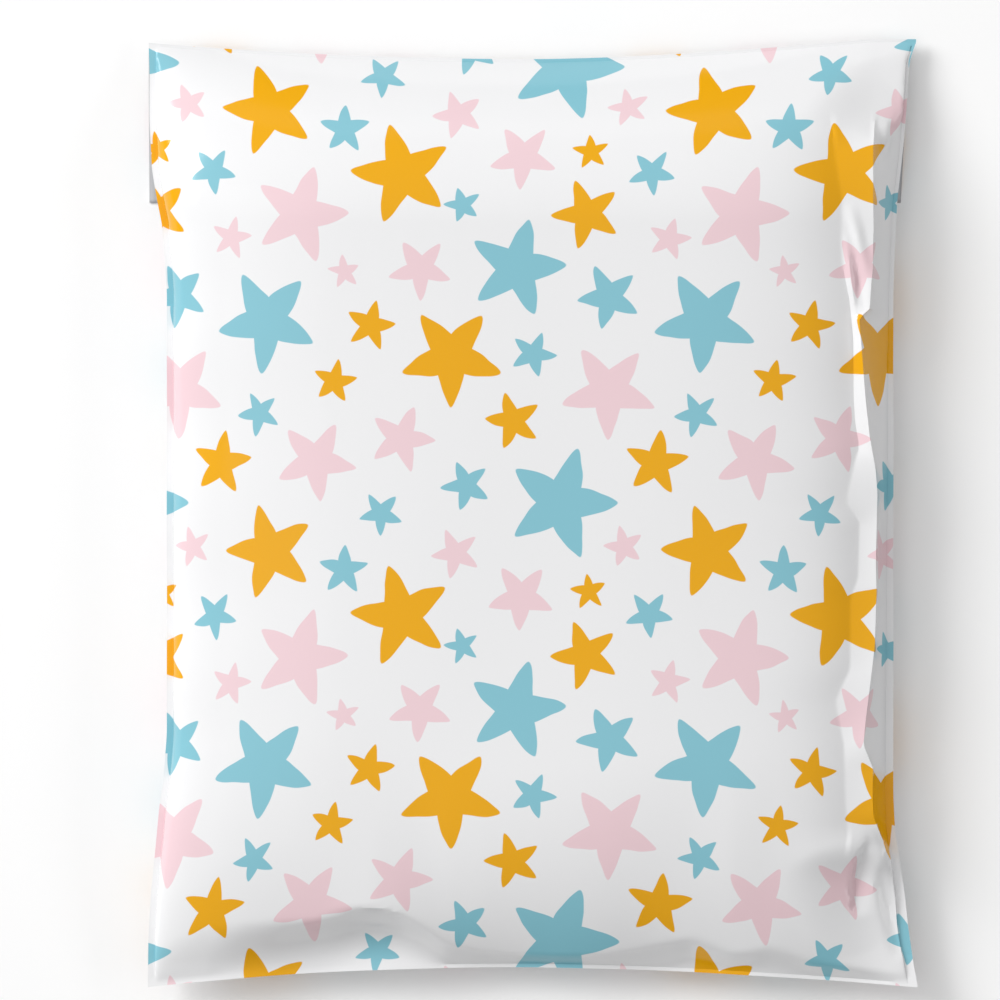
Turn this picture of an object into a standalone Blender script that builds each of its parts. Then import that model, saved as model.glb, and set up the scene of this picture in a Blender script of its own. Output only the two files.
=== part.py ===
# Poly mailer bag, filled and sealed, lying on its back with the printed face up.
# X runs across the bag, Y from the bottom seam to the top fold, Z up from the floor.
# The origin is on the floor under the middle of the bag. All sizes are in metres.

import math

import bmesh
import bpy
import numpy as np

# The bag as it is made, flat. The film is thicker here than the real 0.1 mm,
# so that the welds and the flap stay sound solids.
flat_width = 0.254
bag_length = 0.3134
flap_length = 0.054
film_thickness = 0.0007
left_weld = 0.0022
right_weld = 0.0020
right_weld_gain = 0.0011
bottom_weld = 0.0012
fold_lip = 0.0010

# How much narrower than the flat bag the flap's right side is, at the fold and
# at its free edge
flap_narrowing_fold = 0.0023
flap_narrowing_edge = 0.0048

# The bag as it lies, filled. The body lies a little to the left of the middle.
body_width = 0.2397
body_shift = 0.0008
fill_height = 0.034
side_seam_height = 0.013
top_seam_height = 0.0050
bottom_seam_height = 0.0115

# Cross-section: how full the front's shoulders are, how much of the back lies
# on the floor, and how the back film curls up from there to the side seams
front_fullness = 3.0
floor_share = 0.80
back_curl = 2.2

# Where the sides leave the width of the body and flare out to the corners: share
# of the way from the bottom end to the top, and share of the way out
left_flare = [
    (-1.00, 1.00), (-0.90, 0.97), (-0.81, 0.84), (-0.71, 0.59), (-0.63, 0.41),
    (-0.56, 0.17), (-0.47, 0.00), (0.47, 0.00), (0.61, 0.25), (0.66, 0.51),
    (0.73, 0.80), (0.84, 0.93), (0.94, 0.94), (1.00, 1.00),
]
right_flare = [
    (-1.00, 1.00), (-0.96, 0.85), (-0.88, 0.62), (-0.81, 0.48), (-0.74, 0.27),
    (-0.68, 0.08), (-0.60, 0.00), (0.46, 0.00), (0.56, 0.07), (0.66, 0.17),
    (0.77, 0.42), (0.83, 0.53), (0.88, 0.61), (0.96, 0.71), (1.00, 1.00),
]

# How far the ends are drawn in at mid-width, and how soon that fades along the
# bag. For each end and side: how far the corner is drawn in, the power of the
# curve, and how far out it reaches as a share of the half width.
end_pull = 0.0066
pull_fade = 6.0
end_pulls = {
    (-1, -1): (0.0, 2.2, 1.0),
    (-1, 1): (0.0, 1.6, 1.0),
    (1, -1): (0.0012, 2.0, 1.0),
    (1, 1): (0.0, 1.6, 0.88),
}

# How the film runs down to the top fold, and how the back rolls up to the
# bottom seam
flap_rest = 0.006
top_slope = 1.7
back_roll = 0.026

# The front film's fold along the bottom seam, left to right: place across the
# bag, and distance of the fold from the weld. A skirt of film rises from the weld
# to the fold, hollow where it is wide, and the full front bulges above it.
bottom_fold = [
    (-0.1250, 0.0050), (-0.1130, 0.0085), (-0.0933, 0.0150), (-0.0768, 0.0180),
    (-0.0669, 0.0195), (-0.0603, 0.0220), (-0.0520, 0.0238), (-0.0438, 0.0215),
    (-0.0355, 0.0160), (-0.0272, 0.0090), (-0.0173, 0.0050), (-0.0008, 0.0034),
    (0.0157, 0.0036), (0.0255, 0.0046), (0.0355, 0.0072), (0.0440, 0.0100),
    (0.0520, 0.0122), (0.0590, 0.0098), (0.0655, 0.0066), (0.0720, 0.0078),
    (0.0784, 0.0098), (0.0850, 0.0080), (0.0920, 0.0050), (0.1050, 0.0038),
    (0.1250, 0.0040),
]
fold_rise = 0.0030
fold_slope = 0.50
narrow_skirt = 0.0105
wide_skirt = 0.0220
narrow_hollow = 1.2
wide_hollow = 2.8
fold_soft = 0.05
bottom_run = 0.070
bottom_bulge = 2.1

# The film over the two right corners is drawn down to a nearly level brim, with
# a slope up from the brim to the full front
corner_lift = 0.0003
brim_slope = 0.11
corner_brim = 0.013
corner_slope = 0.45
corner_run = 1.5
corner_ease = 0.008
corner_soft = 0.0050
bottom_corner_reach = 0.040
top_corner_reach = 0.028

# Small waves of the welds
weld_ripple = 0.0010
ripple_length = 0.058
ripple_start = 0.58

# Two creases down the right shoulder, from the bottom end to the top: share of
# the way along the bag, and distance in from the side edge. The film between
# neighbouring creases is drawn tight and nearly flat.
front_crease = [
    (-1.00, 0.0245), (-0.84, 0.0233), (-0.68, 0.0161), (-0.57, 0.0165),
    (-0.49, 0.0168), (-0.40, 0.0196), (-0.37, 0.0178), (-0.33, 0.0148),
    (-0.18, 0.0147), (-0.14, 0.0122), (-0.02, 0.0117), (0.02, 0.0159),
    (0.04, 0.0157), (0.10, 0.0135), (0.14, 0.0118), (0.19, 0.0131),
    (0.24, 0.0136), (0.37, 0.0138), (0.45, 0.0151), (0.52, 0.0176),
    (0.60, 0.0186), (0.66, 0.0188), (0.75, 0.0226), (1.00, 0.0300),
]
side_crease = [
    (-1.00, 0.0040), (-0.70, 0.0044), (-0.67, 0.0060), (-0.64, 0.0075),
    (-0.54, 0.0073), (-0.49, 0.0105), (-0.44, 0.0098), (-0.35, 0.0080),
    (-0.28, 0.0067), (-0.17, 0.0061), (-0.10, 0.0063), (0.04, 0.0058),
    (0.09, 0.0064), (0.16, 0.0084), (0.24, 0.0098), (0.33, 0.0109),
    (0.41, 0.0120), (0.43, 0.0084), (0.52, 0.0077), (0.60, 0.0080),
    (0.66, 0.0086), (0.77, 0.0105), (1.00, 0.0105),
]
crease_lift = 0.0016
crease_drop = 0.0018
drop_reach = 0.011
drop_power = 1.3
facet_hollow = 0.0001
wall_hollow = 0.0006

# Where the creases fade out, as shares of the way from the middle to each end
bottom_fade_start = 0.66
bottom_fade_end = 0.74
top_fade_start = 0.76
top_fade_end = 0.86

# Mesh counts
rows = 62
face_columns = 34
shoulder_columns = 4
wall_columns = 4
flap_rows = 9
edge_bunch = 0.42
end_bunch = 0.30
profile_steps = 600
settle_steps = 8
line_steps = 509
line_spread = 17

# Finish
film_colour = (0.86, 0.86, 0.87, 1.0)
film_roughness = 0.28
smooth_angle = math.radians(14.0)


def smooth_step(start, end, value):
    share = min(max((value - start) / (end - start), 0.0), 1.0)
    return share * share * (3.0 - 2.0 * share)


def soft_least(first, second, soft):
    """The lesser of two heights, rounded over where they cross."""
    share = min(max(0.5 + 0.5 * (second - first) / soft, 0.0), 1.0)
    return second + (first - second) * share - soft * share * (1.0 - share)


def smoothed_line(points):
    """A line of points, sampled finely and rounded over at its corners."""
    places = np.linspace(points[0][0], points[-1][0], line_steps)
    kernel = np.exp(-np.linspace(-2, 2, line_spread) ** 2)
    values = np.interp(places, *zip(*points))
    values = np.pad(values, line_spread // 2, mode="reflect", reflect_type="odd")
    return places, np.convolve(values, kernel / kernel.sum(), mode="valid")


fold_line = smoothed_line(bottom_fold)
left_flare_line = smoothed_line(left_flare)
right_flare_line = smoothed_line(right_flare)


def bunched(share, amount):
    """Move evenly spaced shares from -1 to 1 towards both ends."""
    return share + amount * math.sin(math.pi * share) / math.pi


def side_of(x):
    return 1 if x > 0 else -1


def half_width(along, side):
    """Middle line to the outer edge of a side weld, at a share along the bag."""
    body = body_width / 2 - side_of(side) * body_shift
    line = right_flare_line if side > 0 else left_flare_line
    return body + (flat_width / 2 - body) * float(np.interp(along, *line))


def pouch_edge(along, side):
    """Middle line to the inner edge of a side weld."""
    weld = right_weld - right_weld_gain * along if side > 0 else left_weld
    return half_width(along, side) - weld


def seam_height(along, x):
    """Height of the welds: they wave along the full body and sink at the thin ends."""
    end_height = top_seam_height if along > 0 else bottom_seam_height
    level = side_seam_height + (end_height - side_seam_height) * along ** 4
    turn = math.pi * bag_length * along / ripple_length
    share = min(max(0.5 + x / body_width, 0.0), 1.0)
    wave = math.cos(turn) * (1.0 - share) + math.sin(turn) * share
    return level + weld_ripple * wave * (1.0 - smooth_step(ripple_start / 2, ripple_start, abs(along)))


def bottom_ripple(along, x):
    """Waves of the bottom weld, gone a short way up the bag."""
    if along > 0:
        return 0.0
    return weld_ripple * math.sin(2 * math.pi * x / ripple_length) * along ** 12


def drawn_in(across, end):
    """How far an end is drawn in at a share across the bag."""
    corner, power, reach = end_pulls[end, side_of(across)]
    share = min(abs(across) / reach, 1.0)
    return end_pull - (end_pull - corner) * share ** power


def place_along(along, across):
    """Distance along Y at a share of the pouch's length, with its ends drawn in."""
    end = side_of(along)
    end_space = fold_lip if along > 0 else bottom_weld
    straight = along * (bag_length / 2 - end_space)
    return straight - end * drawn_in(across, end) * abs(along) ** pull_fade


def share_along(y, across):
    """Share of the upper half's length at a distance along Y: place_along undone."""
    upper_half = bag_length / 2 - fold_lip
    along = y / upper_half
    for _ in range(settle_steps):
        along = (y + drawn_in(across, 1) * along ** pull_fade) / upper_half
    return min(along, 1.0)


def to_end(along):
    return (1.0 - abs(along)) * bag_length / 2


def front_fill(along, x):
    """Share of the full rise that the front film reaches at a place on the bag."""
    if along > 0:
        run = min(to_end(along) / (flap_length + flap_rest), 1.0)
        return 1.0 - (1.0 - run) ** top_slope
    fold = float(np.interp(x, *fold_line))
    fold_share = (fold_rise + fold_slope * fold) / (fill_height - bottom_seam_height)
    hollow = np.interp(fold, (narrow_skirt, wide_skirt), (narrow_hollow, wide_hollow))
    skirt = fold_share * (to_end(along) / fold) ** hollow
    run = min((to_end(along) - fold) / bottom_run, 1.0)
    bulge = fold_share + (1.0 - fold_share) * (1.0 - (1.0 - run) ** bottom_bulge)
    return max(soft_least(skirt, bulge, min(fold_soft, bulge)), 0.0)


def back_fill(along):
    """Share of the way down to the floor that the back film reaches at mid-width."""
    taper = flap_length + flap_rest if along > 0 else back_roll
    run = min(to_end(along) / taper, 1.0)
    return 1.0 - (1.0 - run) ** top_slope


def back_height(along, x):
    """Height of the back film: flat on the floor, curled up to the welds."""
    reach = pouch_edge(along, x)
    curl = max(0.0, (abs(x) / reach - floor_share) / (1.0 - floor_share))
    left = 1.0 - back_fill(along) * (1.0 - min(curl, 1.0) ** back_curl)
    return (seam_height(along, x) - film_thickness / 2) * left


def eased(value, soft):
    """A value, rounded off to nothing where it is below zero."""
    return (value + math.hypot(value, soft)) / 2


def corner_cut(height, along, x):
    """Height of the front above the seam, drawn down over the right corners."""
    if x < 0 or height <= 0:
        return height
    reach = top_corner_reach if along > 0 else bottom_corner_reach
    inward = pouch_edge(along, x) - x
    brim = corner_lift + brim_slope * inward
    rise = corner_slope * eased(inward - corner_brim, corner_ease)
    rise += corner_run * eased(to_end(along) - reach, corner_ease)
    return max(soft_least(height, brim + rise, min(corner_soft, height)), 0.0)


def front_rise(along):
    """Fine section of the front film from weld to weld: x, and height above the seam."""
    turn = np.linspace(-math.pi / 2, math.pi / 2, profile_steps)
    side = np.sign(turn)
    reach = np.where(side > 0, pouch_edge(along, 1), pouch_edge(along, -1))
    x = reach * side * np.abs(np.sin(turn)) ** (2 / front_fullness)
    rise = np.cos(turn).clip(0.0) ** (2 / front_fullness)
    rise[[0, -1]] = 0.0
    height = []
    for place, share in zip(x, rise):
        full = fill_height - seam_height(along, place) - film_thickness / 2
        height.append(corner_cut(full * front_fill(along, place) * share, along, place))
    return x, np.array(height)


def film_run(x, z):
    """Distance along the film at each point of a section."""
    return np.concatenate(([0.0], np.cumsum(np.hypot(np.diff(x), np.diff(z)))))


def crease_run(crease, along, x, run):
    """Distance along the film of a row at which a crease crosses it."""
    inset = np.interp(along, *zip(*crease))
    return np.interp(half_width(along, 1) - inset, x, run)


def column_runs(along, x, run):
    """Film distances of the grid's columns: even over the face, then crease to crease."""
    front = crease_run(front_crease, along, x, run)
    side = crease_run(side_crease, along, x, run)
    even = [bunched(-1 + 2 * step / face_columns, edge_bunch) for step in range(face_columns + 1)]
    face = [front * (share + 1) / 2 for share in even]
    shoulder = np.linspace(front, side, shoulder_columns + 1)[1:]
    wall = np.linspace(side, run[-1], wall_columns + 1)[1:]
    return np.concatenate((face, shoulder, wall))


def crease_strength(along):
    if along > 0:
        return 1.0 - smooth_step(top_fade_start, top_fade_end, along)
    return 1.0 - smooth_step(bottom_fade_start, bottom_fade_end, -along)


def draw_flat(points, first, last, hollow, strength):
    """Draw a stretch of section points towards the slightly hollow line between its ends."""
    start, end = points[first].copy(), points[last].copy()
    chord = end - start
    outward = np.array((-chord[1], chord[0])) / max(np.hypot(*chord), film_thickness)
    for index in range(first + 1, last):
        share = (index - first) / (last - first)
        flat = start + chord * share - outward * hollow * 4 * share * (1 - share)
        points[index] += (flat - points[index]) * strength


def front_row(along):
    """Section points (x, z) of the front film at the grid's columns, and their film shares."""
    x, height = front_rise(along)
    run = film_run(x, height)
    places = column_runs(along, x, run)
    points = np.column_stack((np.interp(places, run, x), np.interp(places, run, height)))
    strength = crease_strength(along)
    side_column = face_columns + shoulder_columns
    face = points[:face_columns + 1]
    away = np.maximum(face[-1, 0] - face[:, 0], 0.0)
    face[:, 1] -= crease_drop * strength * np.exp(-(away / drop_reach) ** drop_power)
    points[side_column, 1] += crease_lift * strength
    draw_flat(points, face_columns, side_column, facet_hollow, strength)
    draw_flat(points, side_column, len(points) - 1, wall_hollow, strength)
    for point in points:
        point[1] += seam_height(along, point[0]) + film_thickness / 2
    return points, places / run[-1]


def back_row(along, shares):
    """Section points (x, z) of the back film, at the front row's film shares."""
    x = np.linspace(-pouch_edge(along, -1), pouch_edge(along, 1), profile_steps)
    height = np.array([back_height(along, place) for place in x])
    run = film_run(x, height)
    places = shares * run[-1]
    return np.column_stack((np.interp(places, run, x), np.interp(places, run, height)))


def panel_places(face):
    """Every grid point of a film panel: rows from the bottom weld to the fold."""
    grid = []
    for row in range(rows + 1):
        even = -1 + 2 * (row - 1) / (rows - 2)
        along = bunched(min(max(even, -1.0), 1.0), end_bunch)
        lip = {0: -bottom_weld, rows: fold_lip}.get(row, 0.0)
        front, shares = front_row(along)
        points = front if face > 0 else back_row(along, shares)
        welds = [(edge, seam_height(along, edge) + face * film_thickness / 2)
                 for edge in (-half_width(along, -1), half_width(along, 1))]
        line = []
        for x, z in [welds[0], *points, welds[1]]:
            y = place_along(along, x / half_width(along, x)) + lip
            line.append((x, y, max(z + bottom_ripple(along, x), 0.0)))
        grid.append(line)
    return grid


def add_panel(mesh, face):
    """One film panel: a grid whose points are moved to the filled shape."""
    columns = face_columns + shoulder_columns + wall_columns + 2
    made = bmesh.ops.create_grid(mesh, x_segments=columns, y_segments=rows, size=1.0)
    places = panel_places(face)
    for vert in made["verts"]:
        column = round((vert.co.x + 1) / 2 * columns)
        row = round((vert.co.y + 1) / 2 * rows)
        vert.co = places[row][column]


def build_pouch(collection, material):
    """Front and back films, closed round their edge by the welds and the fold."""
    mesh = bmesh.new()
    add_panel(mesh, 1)
    add_panel(mesh, -1)
    rim = [edge for edge in mesh.edges if edge.is_boundary]
    bmesh.ops.bridge_loops(mesh, edges=rim)
    bmesh.ops.recalc_face_normals(mesh, faces=mesh.faces)
    return add_object("mailer_bag", mesh, collection, material)


def flap_reach(across, up, y):
    """Middle line to the flap's side edge, at a share of the way up from its free edge."""
    side = side_of(across)
    if side < 0:
        return flat_width / 2
    narrowing = flap_narrowing_edge + (flap_narrowing_fold - flap_narrowing_edge) * up
    corner = half_width(share_along(y, across), side) * smooth_step(0.5, 1.0, up)
    return max(flat_width / 2 - narrowing, corner)


def build_flap(collection, material):
    """The closing flap, folded over the top and glued to the back. Its side margins
    stay flat, so they show beyond the narrower body."""
    mesh = bmesh.new()
    made = bmesh.ops.create_grid(mesh, x_segments=face_columns, y_segments=flap_rows, size=1.0)
    lower_edge = bag_length / 2 - flap_length
    for vert in made["verts"]:
        across = bunched(vert.co.x, edge_bunch)
        up = (vert.co.y + 1) / 2
        fold = bag_length / 2 - drawn_in(across, 1) - film_thickness / 4
        y = lower_edge + (fold - lower_edge) * up
        z = back_height(share_along(y, across), 0.0) - film_thickness / 2
        vert.co = (across * flap_reach(across, up, y), y, max(z, 0.0))
    flap = add_object("flap", mesh, collection, material)
    wall = flap.modifiers.new("film", "SOLIDIFY")
    wall.thickness = film_thickness
    wall.offset = 1.0
    return flap


def add_object(name, mesh, collection, material):
    data = bpy.data.meshes.new(name)
    mesh.to_mesh(data)
    mesh.free()
    data.materials.append(material)
    data.shade_smooth()
    data.set_sharp_from_angle(angle=smooth_angle)
    made = bpy.data.objects.new(name, data)
    collection.objects.link(made)
    return made


def film_material():
    material = bpy.data.materials.new("glossy_film")
    material.use_nodes = True
    shader = material.node_tree.nodes["Principled BSDF"]
    shader.inputs["Base Color"].default_value = film_colour
    shader.inputs["Roughness"].default_value = film_roughness
    shader.inputs["Metallic"].default_value = 0.0
    return material


def new_collection(name):
    collection = bpy.data.collections.new(name)
    bpy.context.scene.collection.children.link(collection)
    return collection


def clear_scene():
    for item in list(bpy.data.objects):
        bpy.data.objects.remove(item, do_unlink=True)


def build():
    clear_scene()
    film = film_material()
    bag = build_pouch(new_collection("poly_mailer_bag"), film)
    flap = build_flap(new_collection("joined_film"), film)
    flap.hide_render = True
    flap.display_type = "WIRE"
    join = bag.modifiers.new("flap_fold", "BOOLEAN")
    join.operation = "UNION"
    join.solver = "EXACT"
    join.object = flap


build()
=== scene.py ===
import math

import bmesh
import bpy
import numpy as np
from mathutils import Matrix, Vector


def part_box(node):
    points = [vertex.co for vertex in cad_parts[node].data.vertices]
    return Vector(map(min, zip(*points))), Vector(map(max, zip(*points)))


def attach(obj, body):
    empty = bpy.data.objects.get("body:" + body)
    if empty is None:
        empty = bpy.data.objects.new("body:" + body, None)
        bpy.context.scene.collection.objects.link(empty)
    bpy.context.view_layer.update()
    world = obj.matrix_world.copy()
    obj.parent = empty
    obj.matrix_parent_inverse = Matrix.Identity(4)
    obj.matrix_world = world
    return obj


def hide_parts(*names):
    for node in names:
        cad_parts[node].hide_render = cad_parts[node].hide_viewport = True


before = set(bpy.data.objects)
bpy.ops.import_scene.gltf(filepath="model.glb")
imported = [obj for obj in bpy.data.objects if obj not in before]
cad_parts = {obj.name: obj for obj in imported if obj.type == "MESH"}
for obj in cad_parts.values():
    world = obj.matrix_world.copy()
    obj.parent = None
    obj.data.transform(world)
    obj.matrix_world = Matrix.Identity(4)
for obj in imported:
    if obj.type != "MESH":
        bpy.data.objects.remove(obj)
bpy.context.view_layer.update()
bagLow, bagHigh = (Vector(corner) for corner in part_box("mailer_bag"))
flatWidth = bagHigh.x - bagLow.x
bagLength = bagHigh.y - bagLow.y
print("frame: bag %.0f x %.0f x %.0f mm" % tuple(1000 * side for side in bagHigh - bagLow))


def smoothStep(start, end, value):
    share = min(max((value - start) / (end - start), 0.0), 1.0)
    return share * share * (3.0 - 2.0 * share)


def bunched(share, amount):
    return share + amount * math.sin(math.pi * share) / math.pi


def newMaterial(name):
    material = bpy.data.materials.new(name)
    material.use_nodes = True
    material.node_tree.nodes.clear()
    return material, material.node_tree


def addNode(tree, kind, settings=(), values=()):
    node = tree.nodes.new(kind)
    for name, value in dict(settings).items():
        setattr(node, name, value)
    for name, value in dict(values).items():
        node.inputs[name].default_value = value
    return node


def newGroup(name, inputs, outputs):
    group = bpy.data.node_groups.new(name, "ShaderNodeTree")
    for direction, sockets in (("INPUT", inputs), ("OUTPUT", outputs)):
        for socketName, socketType in sockets.items():
            group.interface.new_socket(name=socketName, in_out=direction, socket_type=socketType)
    return group, group.nodes.new("NodeGroupInput"), group.nodes.new("NodeGroupOutput")


def addMath(tree, operation, first, second=None, third=None):
    node = addNode(tree, "ShaderNodeMath", {"operation": operation})
    for index, value in enumerate((first, second, third)):
        if value is None:
            continue
        if isinstance(value, (int, float)):
            node.inputs[index].default_value = value
        else:
            tree.links.new(value, node.inputs[index])
    return node.outputs[0]


def addObject(name, data):
    made = bpy.data.objects.new(name, data)
    bpy.context.scene.collection.objects.link(made)
    return made


# Film bag, filled: the form of the frame's bag drawn finely, with thinner welds.
# along is -1 at the bottom edge and 1 at the top fold, x is metres from the middle line.
# The keys -1 and 1 stand for left and right, or for bottom and top.
pouch = {
    # welds and folded top edge
    "sideWeld": {-1: 0.0022, 1: 0.0020}, "weldGain": {-1: 0.0, 1: 0.0011}, "bottomWeld": 0.0012,
    "foldLip": 0.0010, "weldThickness": 0.0004,
    # body
    "bodyWidth": 0.2397, "bodyShift": 0.0008, "fillHeight": 0.0339, "frontFullness": 3.0,
    "floorShare": 0.80, "backCurl": 2.2,
    # height of the seams over the table, and their ripple
    "sideSeamHeight": 0.013, "topSeamHeight": 0.0050, "bottomSeamHeight": 0.0115, "seamCurve": 4,
    "weldRipple": 0.0010, "rippleLength": 0.058, "rippleCalm": (0.29, 0.58), "bottomRippleCurve": 12,
    # ends, drawn in by the filling and closing down to the seams
    "endPull": 0.0066, "pullFade": 6.0, "topTaper": 0.060, "topSlope": 1.7, "backRoll": 0.026,
    "bottomRun": 0.070, "bottomBulge": 2.1,
    # fold over the bottom weld, softer towards the left corner
    "foldRise": 0.0030, "foldSlope": 0.50, "foldFlare": (1.2, 2.8), "foldFlareReach": (0.0105, 0.0220),
    "foldSoft": 0.05, "leftSoft": 0.22, "leftSoftFrom": (-0.058, -0.098),
    # creases of the right shoulder, and the film drawn flat beside them
    "creaseFade": {-1: (0.66, 0.74), 1: (0.76, 0.86)}, "creaseLift": 0.0013, "creaseDrop": 0.0018,
    "dropReach": 0.011, "dropCurve": 1.3, "facetHollow": 0.0001, "wallHollow": 0.0006,
    # right corners, drawn down to a brim and a slope
    "cornerReach": {-1: 0.040, 1: 0.028}, "cornerLift": 0.0003, "brimSlope": 0.11, "cornerBrim": 0.013,
    "cornerSlope": 0.45, "cornerRun": 1.5, "cornerEase": 0.008, "cornerSoft": 0.0050,
    # slack of the face: height, waves across and along, start
    "slack": [(0.00020, 1.3, 0.7, 2.6), (0.00014, -0.9, 1.9, 0.8), (0.00006, 3.1, -1.2, 4.4)],
    "slackCurve": 4,
    # grid
    "rows": 195, "faceColumns": 165, "shoulderColumns": 14, "wallColumns": 16, "edgeBunch": 0.5,
    "endBunch": 0.25, "profileSteps": 700, "sharpAngle": math.radians(25.0),
}
# how far each end is drawn in, by end and side: at the corner, its curve and its reach
endPulls = {
    (-1, -1): (0.0, 2.2, 1.0), (-1, 1): (0.0, 1.6, 1.0),
    (1, -1): (0.0012, 2.0, 1.0), (1, 1): (0.0, 1.6, 0.88),
}
# along the bag, share of the way out from the body to the full flat width
sideFlare = {
    -1: [(-1.00, 1.00), (-0.90, 0.97), (-0.81, 0.84), (-0.71, 0.59), (-0.63, 0.41), (-0.56, 0.17),
         (-0.47, 0.0), (0.47, 0.0), (0.61, 0.25), (0.66, 0.51), (0.73, 0.80), (0.84, 0.93), (0.94, 0.94),
         (1.00, 1.00)],
    1: [(-1.00, 1.00), (-0.96, 0.85), (-0.88, 0.62), (-0.81, 0.48), (-0.74, 0.27), (-0.68, 0.08),
        (-0.60, 0.0), (0.46, 0.0), (0.56, 0.07), (0.66, 0.17), (0.77, 0.42), (0.83, 0.53), (0.88, 0.61),
        (0.96, 0.71), (1.00, 1.00)],
}
# along the bag, distance in from the right side edge
frontCrease = [
    (-1.00, 0.0245), (-0.84, 0.0233), (-0.68, 0.0161), (-0.57, 0.0165), (-0.49, 0.0168), (-0.40, 0.0196),
    (-0.37, 0.0178), (-0.33, 0.0148), (-0.18, 0.0147), (-0.14, 0.0122), (-0.02, 0.0117), (0.02, 0.0159),
    (0.04, 0.0157), (0.10, 0.0135), (0.14, 0.0118), (0.19, 0.0131), (0.24, 0.0136), (0.37, 0.0138),
    (0.45, 0.0151), (0.52, 0.0176), (0.60, 0.0186), (0.66, 0.0188), (0.75, 0.0226), (1.00, 0.0300),
]
sideCrease = [
    (-1.00, 0.0040), (-0.70, 0.0044), (-0.67, 0.0060), (-0.64, 0.0075), (-0.54, 0.0073), (-0.49, 0.0105),
    (-0.44, 0.0098), (-0.35, 0.0080), (-0.28, 0.0067), (-0.17, 0.0061), (-0.10, 0.0063), (0.04, 0.0058),
    (0.09, 0.0064), (0.16, 0.0084), (0.24, 0.0098), (0.33, 0.0109), (0.41, 0.0120), (0.43, 0.0084),
    (0.52, 0.0077), (0.60, 0.0080), (0.66, 0.0086), (0.77, 0.0105), (1.00, 0.0105),
]
# across, distance of the fold from the bottom weld
bottomFold = [
    (-0.1250, 0.0050), (-0.1130, 0.0085), (-0.0933, 0.0150), (-0.0768, 0.0180), (-0.0669, 0.0195),
    (-0.0603, 0.0220), (-0.0520, 0.0238), (-0.0438, 0.0215), (-0.0355, 0.0160), (-0.0272, 0.0090),
    (-0.0173, 0.0050), (-0.0008, 0.0034), (0.0157, 0.0036), (0.0255, 0.0046), (0.0355, 0.0072),
    (0.0440, 0.0100), (0.0520, 0.0122), (0.0590, 0.0098), (0.0655, 0.0066), (0.0720, 0.0078),
    (0.0784, 0.0098), (0.0850, 0.0080), (0.0920, 0.0050), (0.1050, 0.0038), (0.1250, 0.0040),
]


# a line through points, with its corners rounded off
def smoothedLine(points, count=509, spread=17):
    places = np.linspace(points[0][0], points[-1][0], count)
    kernel = np.exp(-np.linspace(-2, 2, spread) ** 2)
    values = np.pad(np.interp(places, *zip(*points)), spread // 2, mode="reflect", reflect_type="odd")
    return places, np.convolve(values, kernel / kernel.sum(), mode="valid")


foldLine = smoothedLine(bottomFold)
flareLine = {side: smoothedLine(points) for side, points in sideFlare.items()}


def sideOf(x):
    return 1 if x > 0 else -1


# from the middle line to the bag's edge
def halfWidth(along, side):
    body = pouch["bodyWidth"] / 2 - side * pouch["bodyShift"]
    return body + (flatWidth / 2 - body) * float(np.interp(along, *flareLine[side]))


# from the middle line to the inner edge of the side weld
def pouchEdge(along, side):
    return halfWidth(along, side) - pouch["sideWeld"][side] + pouch["weldGain"][side] * along


def seamHeight(along, x):
    end = pouch["topSeamHeight"] if along > 0 else pouch["bottomSeamHeight"]
    level = pouch["sideSeamHeight"] + (end - pouch["sideSeamHeight"]) * along ** pouch["seamCurve"]
    turn = math.pi * bagLength * along / pouch["rippleLength"]
    share = min(max(0.5 + x / pouch["bodyWidth"], 0.0), 1.0)
    wave = math.cos(turn) * (1.0 - share) + math.sin(turn) * share
    calm = smoothStep(*pouch["rippleCalm"], abs(along))
    return level + pouch["weldRipple"] * wave * (1.0 - calm)


def bottomRipple(along, x):
    if along > 0:
        return 0.0
    wave = math.sin(2 * math.pi * x / pouch["rippleLength"])
    return pouch["weldRipple"] * wave * along ** pouch["bottomRippleCurve"]


# how far the filling draws an end in, across runs from -1 to 1 between the sides
def drawnIn(across, end):
    corner, power, reach = endPulls[end, sideOf(across)]
    share = min(abs(across) / reach, 1.0)
    return pouch["endPull"] - (pouch["endPull"] - corner) * share ** power


def placeAlong(along, across):
    endSpace = pouch["foldLip"] if along > 0 else pouch["bottomWeld"]
    straight = along * (bagLength / 2 - endSpace)
    end = sideOf(along)
    return straight - end * drawnIn(across, end) * abs(along) ** pouch["pullFade"]


def toEnd(along):
    return (1.0 - abs(along)) * bagLength / 2


# the smaller of two values, with a rounded change from one to the other
def softLeast(first, second, soft):
    share = min(max(0.5 + 0.5 * (second - first) / soft, 0.0), 1.0)
    return second + (first - second) * share - soft * share * (1.0 - share)


# share of its full rise that the front reaches at a place
def frontFill(along, x):
    if along > 0:
        run = min(toEnd(along) / pouch["topTaper"], 1.0)
        return 1.0 - (1.0 - run) ** pouch["topSlope"]
    fold = float(np.interp(x, *foldLine))
    fullRise = pouch["fillHeight"] - pouch["bottomSeamHeight"]
    foldShare = (pouch["foldRise"] + pouch["foldSlope"] * fold) / fullRise
    flare = np.interp(fold, pouch["foldFlareReach"], pouch["foldFlare"])
    below = foldShare * (toEnd(along) / fold) ** flare
    run = min((toEnd(along) - fold) / pouch["bottomRun"], 1.0)
    above = foldShare + (1.0 - foldShare) * (1.0 - (1.0 - run) ** pouch["bottomBulge"])
    soft = pouch["foldSoft"] + pouch["leftSoft"] * smoothStep(*pouch["leftSoftFrom"], x)
    soft = min(soft, above)
    return max(softLeast(below, above, soft), 0.0)


def backFill(along):
    taper = pouch["topTaper"] if along > 0 else pouch["backRoll"]
    return 1.0 - (1.0 - min(toEnd(along) / taper, 1.0)) ** pouch["topSlope"]


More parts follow.
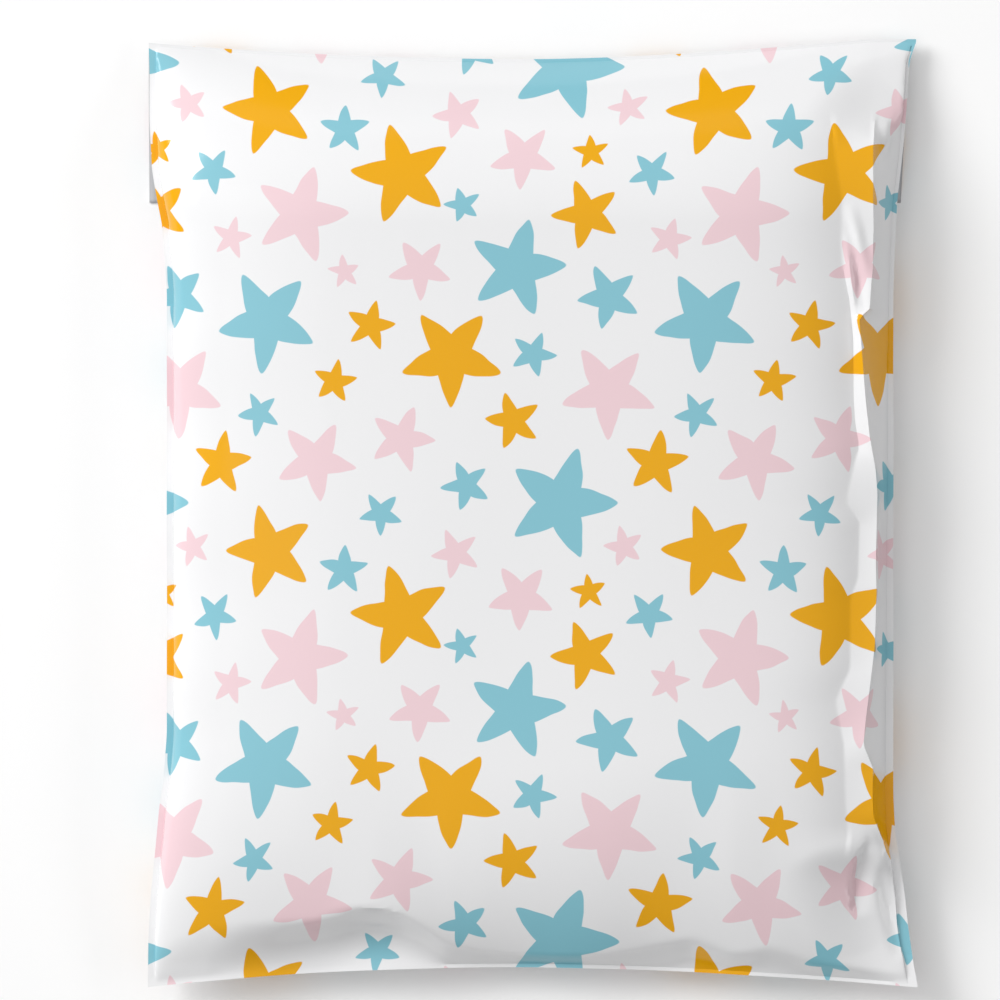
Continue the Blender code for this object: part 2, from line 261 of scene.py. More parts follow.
# the back lies on the table and curls up to the seams
def backHeight(along, x):
    reach = pouchEdge(along, sideOf(x))
    curl = max(0.0, (abs(x) / reach - pouch["floorShare"]) / (1.0 - pouch["floorShare"]))
    left = 1.0 - backFill(along) * (1.0 - min(curl, 1.0) ** pouch["backCurl"])
    return (seamHeight(along, x) - pouch["weldThickness"] / 2) * left


# the value itself above 0 and nearly nothing below, with a soft turn between
def eased(value, soft):
    return (value + math.hypot(value, soft)) / 2


# the film over the right corners stays under a brim and a slope
def cornerCut(height, along, x):
    if x < 0 or height <= 0:
        return height
    inward = pouchEdge(along, 1) - x
    upward = toEnd(along) - pouch["cornerReach"][sideOf(along)]
    cap = (pouch["cornerLift"] + pouch["brimSlope"] * inward
           + pouch["cornerSlope"] * eased(inward - pouch["cornerBrim"], pouch["cornerEase"])
           + pouch["cornerRun"] * eased(upward, pouch["cornerEase"]))
    return max(softLeast(height, cap, min(pouch["cornerSoft"], height)), 0.0)


# profile across the front, as height over the seams
def frontRise(along):
    turn = np.linspace(-math.pi / 2, math.pi / 2, pouch["profileSteps"])
    side = np.sign(turn)
    reach = np.where(side > 0, pouchEdge(along, 1), pouchEdge(along, -1))
    x = reach * side * np.abs(np.sin(turn)) ** (2 / pouch["frontFullness"])
    rise = np.cos(turn).clip(0.0) ** (2 / pouch["frontFullness"])
    rise[[0, -1]] = 0.0
    height = []
    for place, share in zip(x, rise):
        fullRise = pouch["fillHeight"] - seamHeight(along, place) - pouch["weldThickness"] / 2
        height.append(cornerCut(fullRise * frontFill(along, place) * share, along, place))
    return x, np.array(height)


def filmRun(x, z):
    return np.concatenate(([0.0], np.cumsum(np.hypot(np.diff(x), np.diff(z)))))


def creaseRun(crease, along, x, run):
    return np.interp(halfWidth(along, 1) - np.interp(along, *zip(*crease)), x, run)


# where the grid's columns lie along the film of one row, with one on each crease
def columnRuns(along, x, run):
    faceColumns = pouch["faceColumns"]
    front = creaseRun(frontCrease, along, x, run)
    side = creaseRun(sideCrease, along, x, run)
    even = [bunched(-1 + 2 * step / faceColumns, pouch["edgeBunch"]) for step in range(faceColumns + 1)]
    face = [front * (share + 1) / 2 for share in even]
    shoulder = np.linspace(front, side, pouch["shoulderColumns"] + 1)[1:]
    wall = np.linspace(side, run[-1], pouch["wallColumns"] + 1)[1:]
    return np.concatenate((face, shoulder, wall))


# draws the film between two columns towards a straight, slightly hollow line
def drawFlat(points, first, last, hollow, strength):
    start, end = points[first].copy(), points[last].copy()
    chord = end - start
    outward = np.array((-chord[1], chord[0])) / max(np.hypot(*chord), pouch["weldThickness"])
    for index in range(first + 1, last):
        share = (index - first) / (last - first)
        flat = start + chord * share - outward * hollow * 4 * share * (1 - share)
        points[index] += (flat - points[index]) * strength


def slackHeight(along, x):
    out = x / (pouch["bodyWidth"] / 2)
    calm = max(1.0 - abs(out) ** pouch["slackCurve"], 0.0) * (1.0 - abs(along) ** pouch["slackCurve"])
    waves = (height * math.sin(math.pi * (across * out + lengthways * along) + start)
             for height, across, lengthways, start in pouch["slack"])
    return sum(waves) * calm


# one row of the front, and its columns as shares of the film's length
def frontRow(along):
    x, height = frontRise(along)
    run = filmRun(x, height)
    places = columnRuns(along, x, run)
    points = np.column_stack((np.interp(places, run, x), np.interp(places, run, height)))
    frontColumn = pouch["faceColumns"]
    sideColumn = frontColumn + pouch["shoulderColumns"]
    strength = 1.0 - smoothStep(*pouch["creaseFade"][sideOf(along)], abs(along))
    face = points[:frontColumn + 1]
    away = np.maximum(face[-1, 0] - face[:, 0], 0.0)
    drop = np.exp(-(away / pouch["dropReach"]) ** pouch["dropCurve"])
    face[:, 1] -= pouch["creaseDrop"] * strength * drop
    points[sideColumn, 1] += pouch["creaseLift"] * strength
    drawFlat(points, frontColumn, sideColumn, pouch["facetHollow"], strength)
    drawFlat(points, sideColumn, len(points) - 1, pouch["wallHollow"], strength)
    for point in points:
        point[1] += seamHeight(along, point[0]) + pouch["weldThickness"] / 2 + slackHeight(along, point[0])
    return points, places / run[-1]


def backRow(along, shares):
    x = np.linspace(-pouchEdge(along, -1), pouchEdge(along, 1), pouch["profileSteps"])
    height = np.array([backHeight(along, place) for place in x])
    run = filmRun(x, height)
    places = shares * run[-1]
    return np.column_stack((np.interp(places, run, x), np.interp(places, run, height)))


# grid points of one film panel, 1 for the front and -1 for the back
def panelPlaces(face):
    grid = []
    for row in range(pouch["rows"] + 1):
        even = -1 + 2 * (row - 1) / (pouch["rows"] - 2)
        along = bunched(min(max(even, -1.0), 1.0), pouch["endBunch"])
        lip = {0: -pouch["bottomWeld"], pouch["rows"]: pouch["foldLip"]}.get(row, 0.0)
        front, shares = frontRow(along)
        points = front if face > 0 else backRow(along, shares)
        welds = [(edge, seamHeight(along, edge) + face * pouch["weldThickness"] / 2)
                 for edge in (-halfWidth(along, -1), halfWidth(along, 1))]
        line = []
        for x, z in [welds[0], *points, welds[1]]:
            y = placeAlong(along, x / halfWidth(along, sideOf(x))) + lip
            line.append((x, y, max(z + bottomRipple(along, x), 0.0)))
        grid.append(line)
    return np.array(grid)


# Extra wrinkles of the filled film, drawn on the front panel as ridges and dents.
# Each line runs through points (x, y). left and right are how far it reaches to either
# side as it is followed, height is outward, all in millimetres.
wrinkles = {
    "soften": 0.22, "endTaper": 0.6,  # rounding of the crests, power of the fade to both ends
    "lines": [
        # loop of film pinched over the lower right corner
        {"points": [(111.8, -107.3), (109.8, -110.8), (108.4, -114.3), (107.4, -117.8), (106.7, -122.8),
                    (106.4, -129.1), (107.0, -132.5)],
         "left": 5.4, "right": 2.3, "height": -2.2},
        # fold running down to the corner from the end of the side crease
        {"points": [(114.8, -116.5), (115.4, -119.5), (116.3, -124.9), (117.9, -131.8), (119.6, -139.1),
                    (121.4, -147.0)],
         "left": 4.5, "right": 3.6, "height": -1.3},
        # lens and wedge on the upper shoulder
        {"points": [(103.8, 100.6), (106.0, 93.4), (107.6, 86.1), (108.9, 82.2), (109.6, 78.0)],
         "left": 2.8, "right": 2.6, "height": 1.0},
        {"points": [(102.6, 91.5), (103.6, 84.6), (104.2, 76.7), (105.8, 69.8), (106.8, 63.0)],
         "left": 2.4, "right": 1.6, "height": 0.8},
        {"points": [(104.2, 85.0), (106.5, 79.7), (107.1, 76.4), (106.5, 70.5), (106.6, 66.0)],
         "left": 3.5, "right": 1.2, "height": -0.8},
        {"points": [(116.5, 129.5), (117.0, 123.5), (115.8, 116.5)],
         "left": 2.0, "right": 2.6, "height": 0.9},
        # small eye of film under the crest of the bottom fold
        {"points": [(-70.0, -134.5), (-63.0, -131.8), (-56.0, -130.8), (-49.0, -131.6), (-43.0, -134.0)],
         "left": 1.8, "right": 1.8, "height": -0.6},
        {"points": [(-63.0, -134.6), (-56.0, -133.8), (-49.0, -134.6), (-42.0, -137.2)],
         "left": 1.8, "right": 2.4, "height": 0.6},
    ],
}


# signed distance from each place to a line of points, and the share along it
def lineDistance(places, line):
    best = np.full(len(places), np.inf)
    signed, share = np.zeros(len(places)), np.zeros(len(places))
    lengths = [math.dist(a, b) for a, b in zip(line, line[1:])]
    done = 0.0
    for (start, end), length in zip(zip(line, line[1:]), lengths):
        start, end = np.array(start), np.array(end)
        step = (end - start) / length
        run = np.clip((places - start) @ step, 0.0, length)
        off = places - (start + run[:, None] * step)
        gap = np.hypot(off[:, 0], off[:, 1])
        side = np.sign(step[0] * off[:, 1] - step[1] * off[:, 0])
        closer = gap < best
        best = np.where(closer, gap, best)
        signed = np.where(closer, gap * np.where(side == 0, 1, side), signed)
        share = np.where(closer, (done + run) / sum(lengths), share)
        done += length
    return signed, share


# outward move in metres at places (x, y) given in millimetres
def wrinkleHeight(places):
    total = np.zeros(len(places))
    for line in wrinkles["lines"]:
        signed, share = lineDistance(places, line["points"])
        reach = np.where(signed > 0, line["left"], line["right"])
        gap = np.sqrt((signed / reach) ** 2 + (wrinkles["soften"] / reach) ** 2)
        tent = np.clip(1.0 - gap, 0.0, 1.0)
        taper = np.clip(np.sin(np.pi * np.clip(share, 0.0, 1.0)), 0.0, 1.0) ** wrinkles["endTaper"]
        total += line["height"] * tent * taper
    return total / 1000


def gridNormals(grid):
    along = np.gradient(grid, axis=0)
    across = np.gradient(grid, axis=1)
    normals = np.cross(across, along)
    lengths = np.linalg.norm(normals, axis=2, keepdims=True)
    return normals / np.where(lengths > 0, lengths, 1.0)


# how far the filling draws the front's print out of line
def printPull(x, y):
    pull = starPrint["pull"]
    across, along = x / (flatWidth / 2), y / (bagLength / 2)
    low, high = np.maximum(-along, 0.0), np.maximum(along, 0.0)
    wall = np.maximum(-across - pull["wallStart"], 0.0) ** 2 * (1.0 - along ** 4)
    sideways = (across * (pull["lowSpread"] * low ** 2 + pull["highSpread"] * high ** 4)
                + pull["highShift"] * high ** 4 + pull["leftWall"] * wall)
    middle = pull["lowMiddle"] * low * (1.0 - low) + pull["highSides"] * high * across ** 2
    sides = pull["lowSides"] * across ** 2 + pull["lowCorners"] * across ** 4 + pull["lowSkew"] * across
    return sideways, middle + low * sides + pull["shift"]


# where each grid point lies on the print, across and along from the middle of the face
def printPlaces(grid, face):
    across = np.cumsum(np.hypot(np.diff(grid[:, :, 0], axis=1, prepend=grid[:, :1, 0]),
                                np.diff(grid[:, :, 2], axis=1, prepend=grid[:, :1, 2])), axis=1)
    for row in range(len(grid)):
        across[row] -= np.interp(0.0, grid[row, :, 0], across[row])
    follow = np.where(grid[:, :, 0] > 0, starPrint["follow"][1], starPrint["follow"][-1])
    across = grid[:, :, 0] + (across - grid[:, :, 0]) * follow
    if face < 0:
        return np.stack((across, 2 * grid[:1, :, 1] - grid[:, :, 1]), axis=2)
    sideways, lengthways = printPull(grid[:, :, 0], grid[:, :, 1])
    return np.stack((across + sideways, grid[:, :, 1] + lengthways), axis=2)


def addPanel(mesh, grid, printed):
    rows, columns = grid.shape[0] - 1, grid.shape[1] - 1
    made = bmesh.ops.create_grid(mesh, x_segments=columns, y_segments=rows, size=1.0)
    film = mesh.verts.layers.float_vector["filmPlace"]
    for vert in made["verts"]:
        column = round((vert.co.x + 1) / 2 * columns)
        row = round((vert.co.y + 1) / 2 * rows)
        vert.co = grid[row, column]
        vert[film] = (*printed[row, column], 0.0)


def finishPiece(name, mesh, materials, sharpAngle=None):
    uv = mesh.loops.layers.uv.new("film")
    film = mesh.verts.layers.float_vector["filmPlace"]
    for face in mesh.faces:
        face.smooth = True
        for loop in face.loops:
            loop[uv].uv = loop.vert[film].xy
    mesh.verts.layers.float_vector.remove(film)
    data = bpy.data.meshes.new(name)
    mesh.to_mesh(data)
    mesh.free()
    for material in materials:
        data.materials.append(material)
    if sharpAngle:
        data.set_sharp_from_angle(angle=sharpAngle)
    return addObject(name, data)


# Closing flap: folded over the top and glued to the back
flap = {
    "length": 0.054, "thickness": 0.0004, "gap": 0.0001, "easeIn": 0.006, "columns": 96, "rows": 40,
    "edgeBunch": 0.35, "settleSteps": 8, "meetsSides": (0.5, 1.0),
    "narrowing": {-1: (0.0, 0.0), 1: (0.0023, 0.0048)},  # at the fold and at the lower edge
}


# the place along the bag of a point with this y
def shareAlong(y, across):
    upperHalf = bagLength / 2 - pouch["foldLip"]
    along = y / upperHalf
    for _ in range(flap["settleSteps"]):
        along = (y + drawnIn(across, 1) * along ** pouch["pullFade"]) / upperHalf
    return min(along, 1.0)


def flapGrid():
    grid = np.zeros((flap["rows"] + 1, flap["columns"] + 1, 3))
    lowerEdge = bagLength / 2 - flap["length"]
    for column in range(flap["columns"] + 1):
        across = bunched(-1 + 2 * column / flap["columns"], flap["edgeBunch"])
        fold = bagLength / 2 - drawnIn(across, 1)
        for row in range(flap["rows"] + 1):
            y = lowerEdge + (fold - lowerEdge) * row / flap["rows"]
            z = backHeight(shareAlong(y, across), 0.0) - flap["thickness"]
            share = row / flap["rows"]
            foldSide, freeSide = flap["narrowing"][sideOf(across)]
            reach = flatWidth / 2 - freeSide + (freeSide - foldSide) * share
            side = halfWidth(shareAlong(y, across), sideOf(across))
            reach = max(reach, side * smoothStep(*flap["meetsSides"], share))
            grid[row, column] = (across * reach, y, max(z, 0.0))
    return grid


# Print: five-pointed stars scattered over one repeat of the film. Each star is
# (across, along) in millimetres from the middle, reach in millimetres, turn in degrees.
starPrint = {
    "repeat": 0.1439, "follow": {-1: 0.0, 1: 0.55}, "points": 5, "valley": 0.45, "softTip": 0.055,
    "bulge": 0.03, "edge": 0.00012, "wobble": 0.0007, "wobbleScale": 95.0,
    "pull": {"lowSpread": -0.0047, "highSpread": -0.0044, "highShift": -0.0024, "leftWall": -0.0190,
             "wallStart": 0.52, "lowMiddle": 0.0022, "highSides": -0.0024, "lowSides": 0.0033,
             "lowCorners": 0.0029, "lowSkew": 0.0007, "shift": 0.0007},
    "colours": {"pink": (0.847, 0.624, 0.665), "blue": (0.238, 0.539, 0.631),
                "mustard": (0.83, 0.398, 0.0020)},
    "ground": (0.855, 0.855, 0.863),
    "stars": {
        "pink": [
            (-36.8, 80.5, 10.1, -19.5), (-61.7, 79.2, 5.2, 27.0), (24.9, 40.6, 15.5, -20.0),
            (-42.9, 24.8, 10.8, -2.0), (-71.1, 17.7, 13.1, -11.0), (29.9, -10.1, 6.5, 34.0),
            (-25.2, -12.5, 8.0, -33.0), (-3.9, -26.6, 10.8, -20.3), (67.7, -45.9, 15.7, 1.5),
            (44.2, -53.9, 7.0, 4.5),
        ],
        "blue": [
            (-5.4, 80.7, 16.0, 4.0), (24.7, 71.2, 10.5, -30.0), (56.3, 63.2, 16.8, -23.5),
            (0.2, 52.6, 7.4, -5.0), (53.6, 32.8, 7.2, -29.5), (-21.8, 9.6, 8.2, -32.0),
            (9.3, 4.0, 18.2, 0.0), (-49.6, 0.4, 7.2, -21.5), (-61.8, -17.8, 8.0, 16.0),
            (38.1, -32.0, 7.7, -14.0), (-23.1, -42.5, 5.8, 34.0),
        ],
        "mustard": [
            (-53.0, 61.7, 8.0, 4.5), (-26.7, 51.8, 16.4, -18.0), (-64.9, 43.6, 7.0, 9.4),
            (-6.4, 30.8, 9.2, 34.0), (40.4, 16.9, 10.5, 9.3), (57.4, -11.7, 15.2, 34.0),
            (18.2, -24.8, 5.8, 25.0), (-43.0, -32.5, 16.4, 32.7), (17.2, -45.4, 11.3, -33.0),
        ],
    },
}


# mask of one star, repeated over the film
def buildStarGroup():
    group, inputs, outputs = newGroup("printStar", {
        "Film": "NodeSocketVector", "Centre": "NodeSocketVector", "Turn": "NodeSocketFloat",
        "Reach": "NodeSocketFloat"}, {"Mask": "NodeSocketFloat"})
    links = group.links
    offset = addNode(group, "ShaderNodeVectorMath", {"operation": "SUBTRACT"})
    links.new(inputs.outputs["Film"], offset.inputs[0])
    links.new(inputs.outputs["Centre"], offset.inputs[1])
    half = starPrint["repeat"] / 2
    wrapped = addNode(group, "ShaderNodeVectorMath", {"operation": "WRAP"},
                      {1: (half, half, half), 2: (-half, -half, -half)})
    links.new(offset.outputs[0], wrapped.inputs[0])
    parts = addNode(group, "ShaderNodeSeparateXYZ")
    links.new(wrapped.outputs[0], parts.inputs[0])
    across, along = parts.outputs[0], parts.outputs[1]
    radius = addMath(group, "SQRT", addMath(group, "ADD", addMath(group, "MULTIPLY", across, across),
                                            addMath(group, "MULTIPLY", along, along)))
    angle = addMath(group, "SUBTRACT", addMath(group, "ARCTAN2", along, across), inputs.outputs["Turn"])
    halfArm = math.pi / starPrint["points"]
    arm = addMath(group, "WRAP", angle, halfArm, -halfArm)
    reach = inputs.outputs["Reach"]
    outward = addMath(group, "MULTIPLY", radius, addMath(group, "COSINE", arm))
    sideways = addMath(group, "MULTIPLY", radius, addMath(group, "SINE", arm))
    soft = addMath(group, "MULTIPLY", reach, starPrint["softTip"])
    sideways = addMath(group, "SQRT", addMath(group, "ADD", addMath(group, "MULTIPLY", sideways, sideways),
                                              addMath(group, "MULTIPLY", soft, soft)))
    # straight edge from tip to valley, given as the normal of that line
    valleyOut = starPrint["valley"] * math.cos(halfArm)
    valleySide = starPrint["valley"] * math.sin(halfArm)
    tip = 1.0 + starPrint["softTip"] * (1.0 - valleyOut) / valleySide
    length = math.hypot(tip - valleyOut, valleySide)
    normalOut, normalSide = valleySide / length, (tip - valleyOut) / length
    fromTip = addMath(group, "SUBTRACT", outward, addMath(group, "MULTIPLY", reach, tip))
    distance = addMath(group, "ADD", addMath(group, "MULTIPLY", fromTip, normalOut),
                       addMath(group, "MULTIPLY", sideways, normalSide))
    share = addNode(group, "ShaderNodeMath", {"operation": "DIVIDE", "use_clamp": True})
    links.new(addMath(group, "MULTIPLY", fromTip, -1.0 / (tip - valleyOut)), share.inputs[0])
    links.new(reach, share.inputs[1])
    swell = addMath(group, "MULTIPLY", addMath(group, "SUBTRACT", 1.0, share.outputs[0]), share.outputs[0])
    swell = addMath(group, "MULTIPLY", swell, addMath(group, "MULTIPLY", reach, 4 * starPrint["bulge"]))
    distance = addMath(group, "SUBTRACT", distance, swell)
    mask = addNode(group, "ShaderNodeMapRange", {"interpolation_type": "SMOOTHSTEP"}, {
        "From Min": starPrint["edge"], "From Max": -starPrint["edge"], "To Min": 0.0, "To Max": 1.0})
    links.new(distance, mask.inputs["Value"])
    links.new(mask.outputs["Result"], outputs.inputs["Mask"])
    return group


# colour and ink of the printed film at a place on it
def buildPrintGroup(starGroup):
    group, inputs, outputs = newGroup("filmPrint", {"Film": "NodeSocketVector"},
                                      {"Color": "NodeSocketColor", "Ink": "NodeSocketFloat"})
    links = group.links
    wobble = addNode(group, "ShaderNodeTexNoise", {"noise_dimensions": "2D"},
                     {"Scale": starPrint["wobbleScale"], "Detail": 1.0})
    links.new(inputs.outputs["Film"], wobble.inputs["Vector"])
    centred = addNode(group, "ShaderNodeVectorMath", {"operation": "SUBTRACT"}, {1: (0.5, 0.5, 0.5)})
    links.new(wobble.outputs["Color"], centred.inputs[0])
    shifted = addNode(group, "ShaderNodeVectorMath", {"operation": "MULTIPLY_ADD"}, {
        1: (2 * starPrint["wobble"], 2 * starPrint["wobble"], 0.0)})
    links.new(centred.outputs[0], shifted.inputs[0])
    links.new(inputs.outputs["Film"], shifted.inputs[2])
    colour, ink = None, None
    for name, stars in starPrint["stars"].items():
        mask = None
        for across, along, reach, turn in stars:
            star = addNode(group, "ShaderNodeGroup", {"node_tree": starGroup}, {
                "Centre": (across / 1000, along / 1000, 0.0), "Turn": math.radians(turn),
                "Reach": reach / 1000})
            links.new(shifted.outputs[0], star.inputs["Film"])
            shape = star.outputs["Mask"]
            mask = shape if mask is None else addMath(group, "MAXIMUM", mask, shape)
        mix = addNode(group, "ShaderNodeMix", {"data_type": "RGBA"}, {
            "A": (*starPrint["ground"], 1.0), "B": (*starPrint["colours"][name], 1.0)})
        if colour is not None:
            links.new(colour, mix.inputs["A"])
        links.new(mask, mix.inputs["Factor"])
        colour = mix.outputs["Result"]
        ink = mask if ink is None else addMath(group, "MAXIMUM", ink, mask)
    links.new(colour, outputs.inputs["Color"])
    links.new(ink, outputs.inputs["Ink"])
    return group


# Film finish: fine ripples and uneven gloss, shared by every side of the film
filmFinish = {
    "low": 0.09, "high": 0.13, "inkRougher": 0.03, "glossScale": 42.0, "rippleStretch": 0.28,
    "bumpDistance": 0.00018, "bumpStrength": 0.5, "ior": 1.4,
    "inside": (0.50, 0.50, 0.515), "insideLow": 0.28, "insideHigh": 0.40, "edge": (0.84, 0.84, 0.85),
}


def buildGlossGroup():
    group, inputs, outputs = newGroup("filmGloss", {
        "Film": "NodeSocketVector", "Scale": "NodeSocketFloat", "Low": "NodeSocketFloat",
        "High": "NodeSocketFloat"}, {"Roughness": "NodeSocketFloat", "Height": "NodeSocketFloat"})
    links = group.links
    flat = {"noise_dimensions": "2D"}
    broad = addNode(group, "ShaderNodeTexNoise", flat, {"Detail": 2.0, "Roughness": 0.5})
    links.new(inputs.outputs["Film"], broad.inputs["Vector"])
    links.new(inputs.outputs["Scale"], broad.inputs["Scale"])
    gloss = addNode(group, "ShaderNodeMapRange")
    links.new(broad.outputs["Fac"], gloss.inputs["Value"])
    links.new(inputs.outputs["Low"], gloss.inputs["To Min"])
    links.new(inputs.outputs["High"], gloss.inputs["To Max"])
    links.new(gloss.outputs["Result"], outputs.inputs["Roughness"])
    drawn = addNode(group, "ShaderNodeMapping", values={"Scale": (1.0, filmFinish["rippleStretch"], 1.0)})
    links.new(inputs.outputs["Film"], drawn.inputs["Vector"])
    fine = addNode(group, "ShaderNodeTexNoise", flat, {"Detail": 2.0, "Roughness": 0.45})
    links.new(drawn.outputs[0], fine.inputs["Vector"])
    links.new(inputs.outputs["Scale"], fine.inputs["Scale"])
    links.new(fine.outputs["Fac"], outputs.inputs["Height"])
    return group


def filmMaterial(name, low, high, printGroup=None, colour=None):
    material, tree = newMaterial(name)
    output = addNode(tree, "ShaderNodeOutputMaterial")
    shader = addNode(tree, "ShaderNodeBsdfPrincipled", values={"IOR": filmFinish["ior"]})
    tree.links.new(shader.outputs[0], output.inputs[0])
    film = addNode(tree, "ShaderNodeUVMap", {"uv_map": "film"})
    if printGroup:
        pattern = addNode(tree, "ShaderNodeGroup", {"node_tree": printGroup})
        tree.links.new(film.outputs[0], pattern.inputs["Film"])
        tree.links.new(pattern.outputs["Color"], shader.inputs["Base Color"])
    else:
        shader.inputs["Base Color"].default_value = (*colour, 1.0)
    gloss = addNode(tree, "ShaderNodeGroup", {"node_tree": glossGroup}, {
        "Scale": filmFinish["glossScale"], "Low": low, "High": high})
    tree.links.new(film.outputs[0], gloss.inputs["Film"])
    roughness = gloss.outputs["Roughness"]
    if printGroup:
        ink = pattern.outputs["Ink"]
        roughness = addMath(tree, "MULTIPLY_ADD", ink, filmFinish["inkRougher"], roughness)
    tree.links.new(roughness, shader.inputs["Roughness"])
    bump = addNode(tree, "ShaderNodeBump", values={
        "Strength": filmFinish["bumpStrength"], "Distance": filmFinish["bumpDistance"]})
    tree.links.new(gloss.outputs["Height"], bump.inputs["Height"])
    tree.links.new(bump.outputs[0], shader.inputs["Normal"])
    return material


glossGroup = buildGlossGroup()
printGroup = buildPrintGroup(buildStarGroup())
printedFilm = filmMaterial("printedFilm", filmFinish["low"], filmFinish["high"], printGroup)
insideFilm = filmMaterial("insideFilm", filmFinish["insideLow"], filmFinish["insideHigh"],
                          colour=filmFinish["inside"])
edgeFilm = filmMaterial("edgeFilm", filmFinish["low"], filmFinish["high"], colour=filmFinish["edge"])
print("materials made: printed film, inside of the film, film edge")


def buildMailer():
    front, back = panelPlaces(1), panelPlaces(-1)
    frontPrint, backPrint = printPlaces(front, 1), printPlaces(back, -1)
    lift = wrinkleHeight(front[:, :, :2].reshape(-1, 2) * 1000).reshape(front.shape[:2])
    lift[[0, 1, -2, -1]] = 0.0
    lift[:, [0, 1, -2, -1]] = 0.0
    front = front + gridNormals(front) * lift[:, :, None]
    # the back makes room for the flap, which lies between it and the table
    underFlap = back[:, :, 1] - (bagLength / 2 - flap["length"] - flap["easeIn"])
    flapShare = np.clip(underFlap / flap["easeIn"], 0.0, 1.0)
    back[:, :, 2] = np.maximum(back[:, :, 2], flapShare * (flap["thickness"] + flap["gap"]))
    mesh = bmesh.new()
    mesh.verts.layers.float_vector.new("filmPlace")
    addPanel(mesh, front, frontPrint)
    addPanel(mesh, back, backPrint)
    panelFaces = set(mesh.faces)
    bmesh.ops.bridge_loops(mesh, edges=[edge for edge in mesh.edges if edge.is_boundary])
    for face in mesh.faces:
        face.material_index = 0 if face in panelFaces else 1
    bmesh.ops.recalc_face_normals(mesh, faces=mesh.faces)
    return finishPiece("filledMailer", mesh, [printedFilm, edgeFilm], pouch["sharpAngle"])


def buildFlap():
    inner = flapGrid()
    outer = inner.copy()
    inner[:, :, 2] += flap["thickness"]
    printed = np.stack((inner[:, :, 0], bagLength - inner[:, :, 1]), axis=2)
    mesh = bmesh.new()
    mesh.verts.layers.float_vector.new("filmPlace")
    addPanel(mesh, inner, printed)
    innerFaces = set(mesh.faces)
    addPanel(mesh, outer, printed)
    panelFaces = set(mesh.faces)
    bmesh.ops.bridge_loops(mesh, edges=[edge for edge in mesh.edges if edge.is_boundary])
    for face in mesh.faces:
        face.material_index = 1 if face in innerFaces else 0 if face in panelFaces else 2
    bmesh.ops.recalc_face_normals(mesh, faces=mesh.faces)
    return finishPiece("closingFlap", mesh, [printedFilm, insideFilm, edgeFilm])


filledMailer = buildMailer()
closingFlap = buildFlap()
for piece in (filledMailer, closingFlap):
    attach(piece, "root")
    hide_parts("mailer_bag")
print("bag made: %d and %d faces" % (len(filledMailer.data.polygons), len(closingFlap.data.polygons)))


# Table, lamps and camera
stage = {
    "floorSize": 8.0, "floorLevel": -0.0002, "floor": (0.80, 0.80, 0.80), "floorRoughness": 0.9,
    "floorSeen": (0.96, 0.96, 0.96), "floorGlow": 0.03,
    "worldLow": 0.02, "worldHigh": 0.76, "worldFrom": (-0.20, 0.08, 0.97),
    "cameraHeight": 2.5, "cameraX": -0.01073, "cameraY": 0.00416,
    "seenWidth": 0.3303, "seenHeight": 0.0105, "sensor": 36.0,  # width in view at seenHeight
    "lamps": [
        {"name": "windowKey", "place": (-3.15, 1.9, 2.3), "size": (2.2, 2.2), "radiance": 9.2},
        {"name": "overheadBox", "place": (-1.08, 0.0, 2.8), "size": (1.06, 2.4), "radiance": 0.5},
        {"name": "topBox", "place": (0.0, 2.6, 1.5), "size": (0.6, 2.4), "radiance": 0.4},
        {"name": "rightStrip", "place": (2.6, 0.0, 1.5), "size": (0.6, 2.4), "radiance": 2.4},
    ],
}


# 1 where the pale background is looked at, also in a reflection or through something clear
def seenRays(tree):
    rays = tree.nodes.new("ShaderNodeLightPath")
    either = addMath(tree, "MAXIMUM", rays.outputs["Is Camera Ray"], rays.outputs["Is Glossy Ray"])
    return addMath(tree, "MAXIMUM", either, rays.outputs["Is Transmission Ray"])


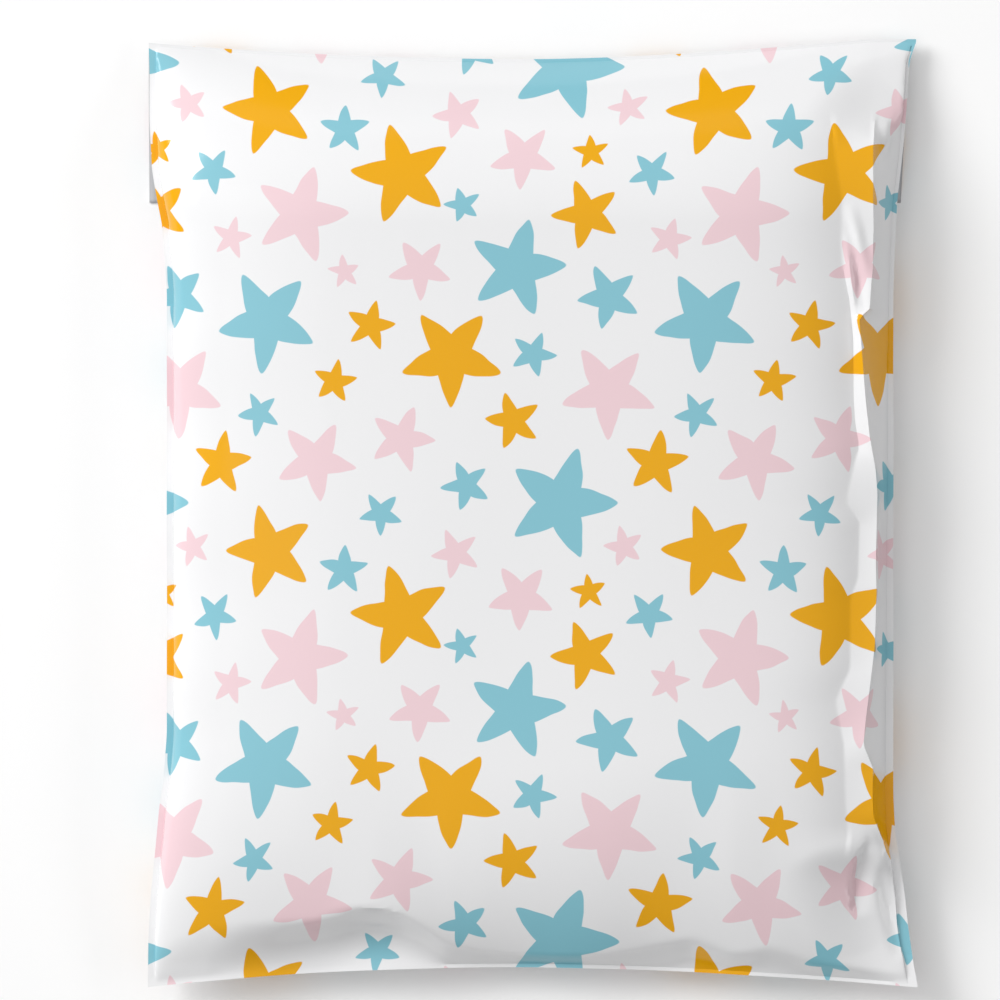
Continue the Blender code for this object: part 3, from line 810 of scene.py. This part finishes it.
def buildFloor():
    mesh = bmesh.new()
    bmesh.ops.create_grid(mesh, x_segments=1, y_segments=1, size=stage["floorSize"] / 2)
    bmesh.ops.translate(mesh, verts=mesh.verts, vec=(0.0, 0.0, stage["floorLevel"]))
    data = bpy.data.meshes.new("tableTop")
    mesh.to_mesh(data)
    mesh.free()
    material, tree = newMaterial("paleTable")
    output = addNode(tree, "ShaderNodeOutputMaterial")
    shader = addNode(tree, "ShaderNodeBsdfPrincipled", values={
        "Base Color": (*stage["floor"], 1.0), "Roughness": stage["floorRoughness"],
        "Specular IOR Level": 0.0})
    seen = addNode(tree, "ShaderNodeBsdfDiffuse", values={"Color": (*stage["floorSeen"], 1.0)})
    glow = addNode(tree, "ShaderNodeEmission", values={"Strength": stage["floorGlow"]})
    lit = tree.nodes.new("ShaderNodeAddShader")
    tree.links.new(seen.outputs[0], lit.inputs[0])
    tree.links.new(glow.outputs[0], lit.inputs[1])
    mix = tree.nodes.new("ShaderNodeMixShader")
    tree.links.new(seenRays(tree), mix.inputs[0])
    tree.links.new(shader.outputs[0], mix.inputs[1])
    tree.links.new(lit.outputs[0], mix.inputs[2])
    tree.links.new(mix.outputs[0], output.inputs[0])
    data.materials.append(material)
    addObject("tableTop", data)


def addLamp(lamp):
    data = bpy.data.lights.new(lamp["name"], "AREA")
    data.shape = "RECTANGLE"
    data.size, data.size_y = lamp["size"]
    data.energy = lamp["radiance"] * math.pi * data.size * data.size_y
    made = addObject(lamp["name"], data)
    made.location = lamp["place"]
    made.rotation_euler = Vector(lamp["place"]).to_track_quat("Z", "X").to_euler()


# sky that is brightest towards worldFrom
def buildWorld():
    world = bpy.data.worlds.new("studio")
    bpy.context.scene.world = world
    world.use_nodes = True
    tree = world.node_tree
    tree.nodes.clear()
    output = addNode(tree, "ShaderNodeOutputWorld")
    light = addNode(tree, "ShaderNodeBackground", values={"Color": (1, 1, 1, 1)})
    direction = addNode(tree, "ShaderNodeTexCoord")
    facing = addNode(tree, "ShaderNodeVectorMath", {"operation": "DOT_PRODUCT"},
                     {1: Vector(stage["worldFrom"]).normalized()})
    tree.links.new(direction.outputs["Generated"], facing.inputs[0])
    sky = addNode(tree, "ShaderNodeMapRange", values={
        "To Min": stage["worldLow"], "To Max": stage["worldHigh"]})
    tree.links.new(facing.outputs["Value"], sky.inputs["Value"])
    tree.links.new(sky.outputs["Result"], light.inputs["Strength"])
    tree.links.new(light.outputs[0], output.inputs[0])


def addCamera():
    data = bpy.data.cameras.new("topView")
    data.sensor_width = stage["sensor"]
    data.lens = stage["sensor"] * (stage["cameraHeight"] - stage["seenHeight"]) / stage["seenWidth"]
    camera = addObject("topView", data)
    camera.location = (stage["cameraX"], stage["cameraY"], stage["cameraHeight"])
    bpy.context.scene.camera = camera


buildFloor()
for lamp in stage["lamps"]:
    addLamp(lamp)
buildWorld()
addCamera()
bpy.context.scene.view_settings.view_transform = "Standard"
print("table, lamps and camera placed")
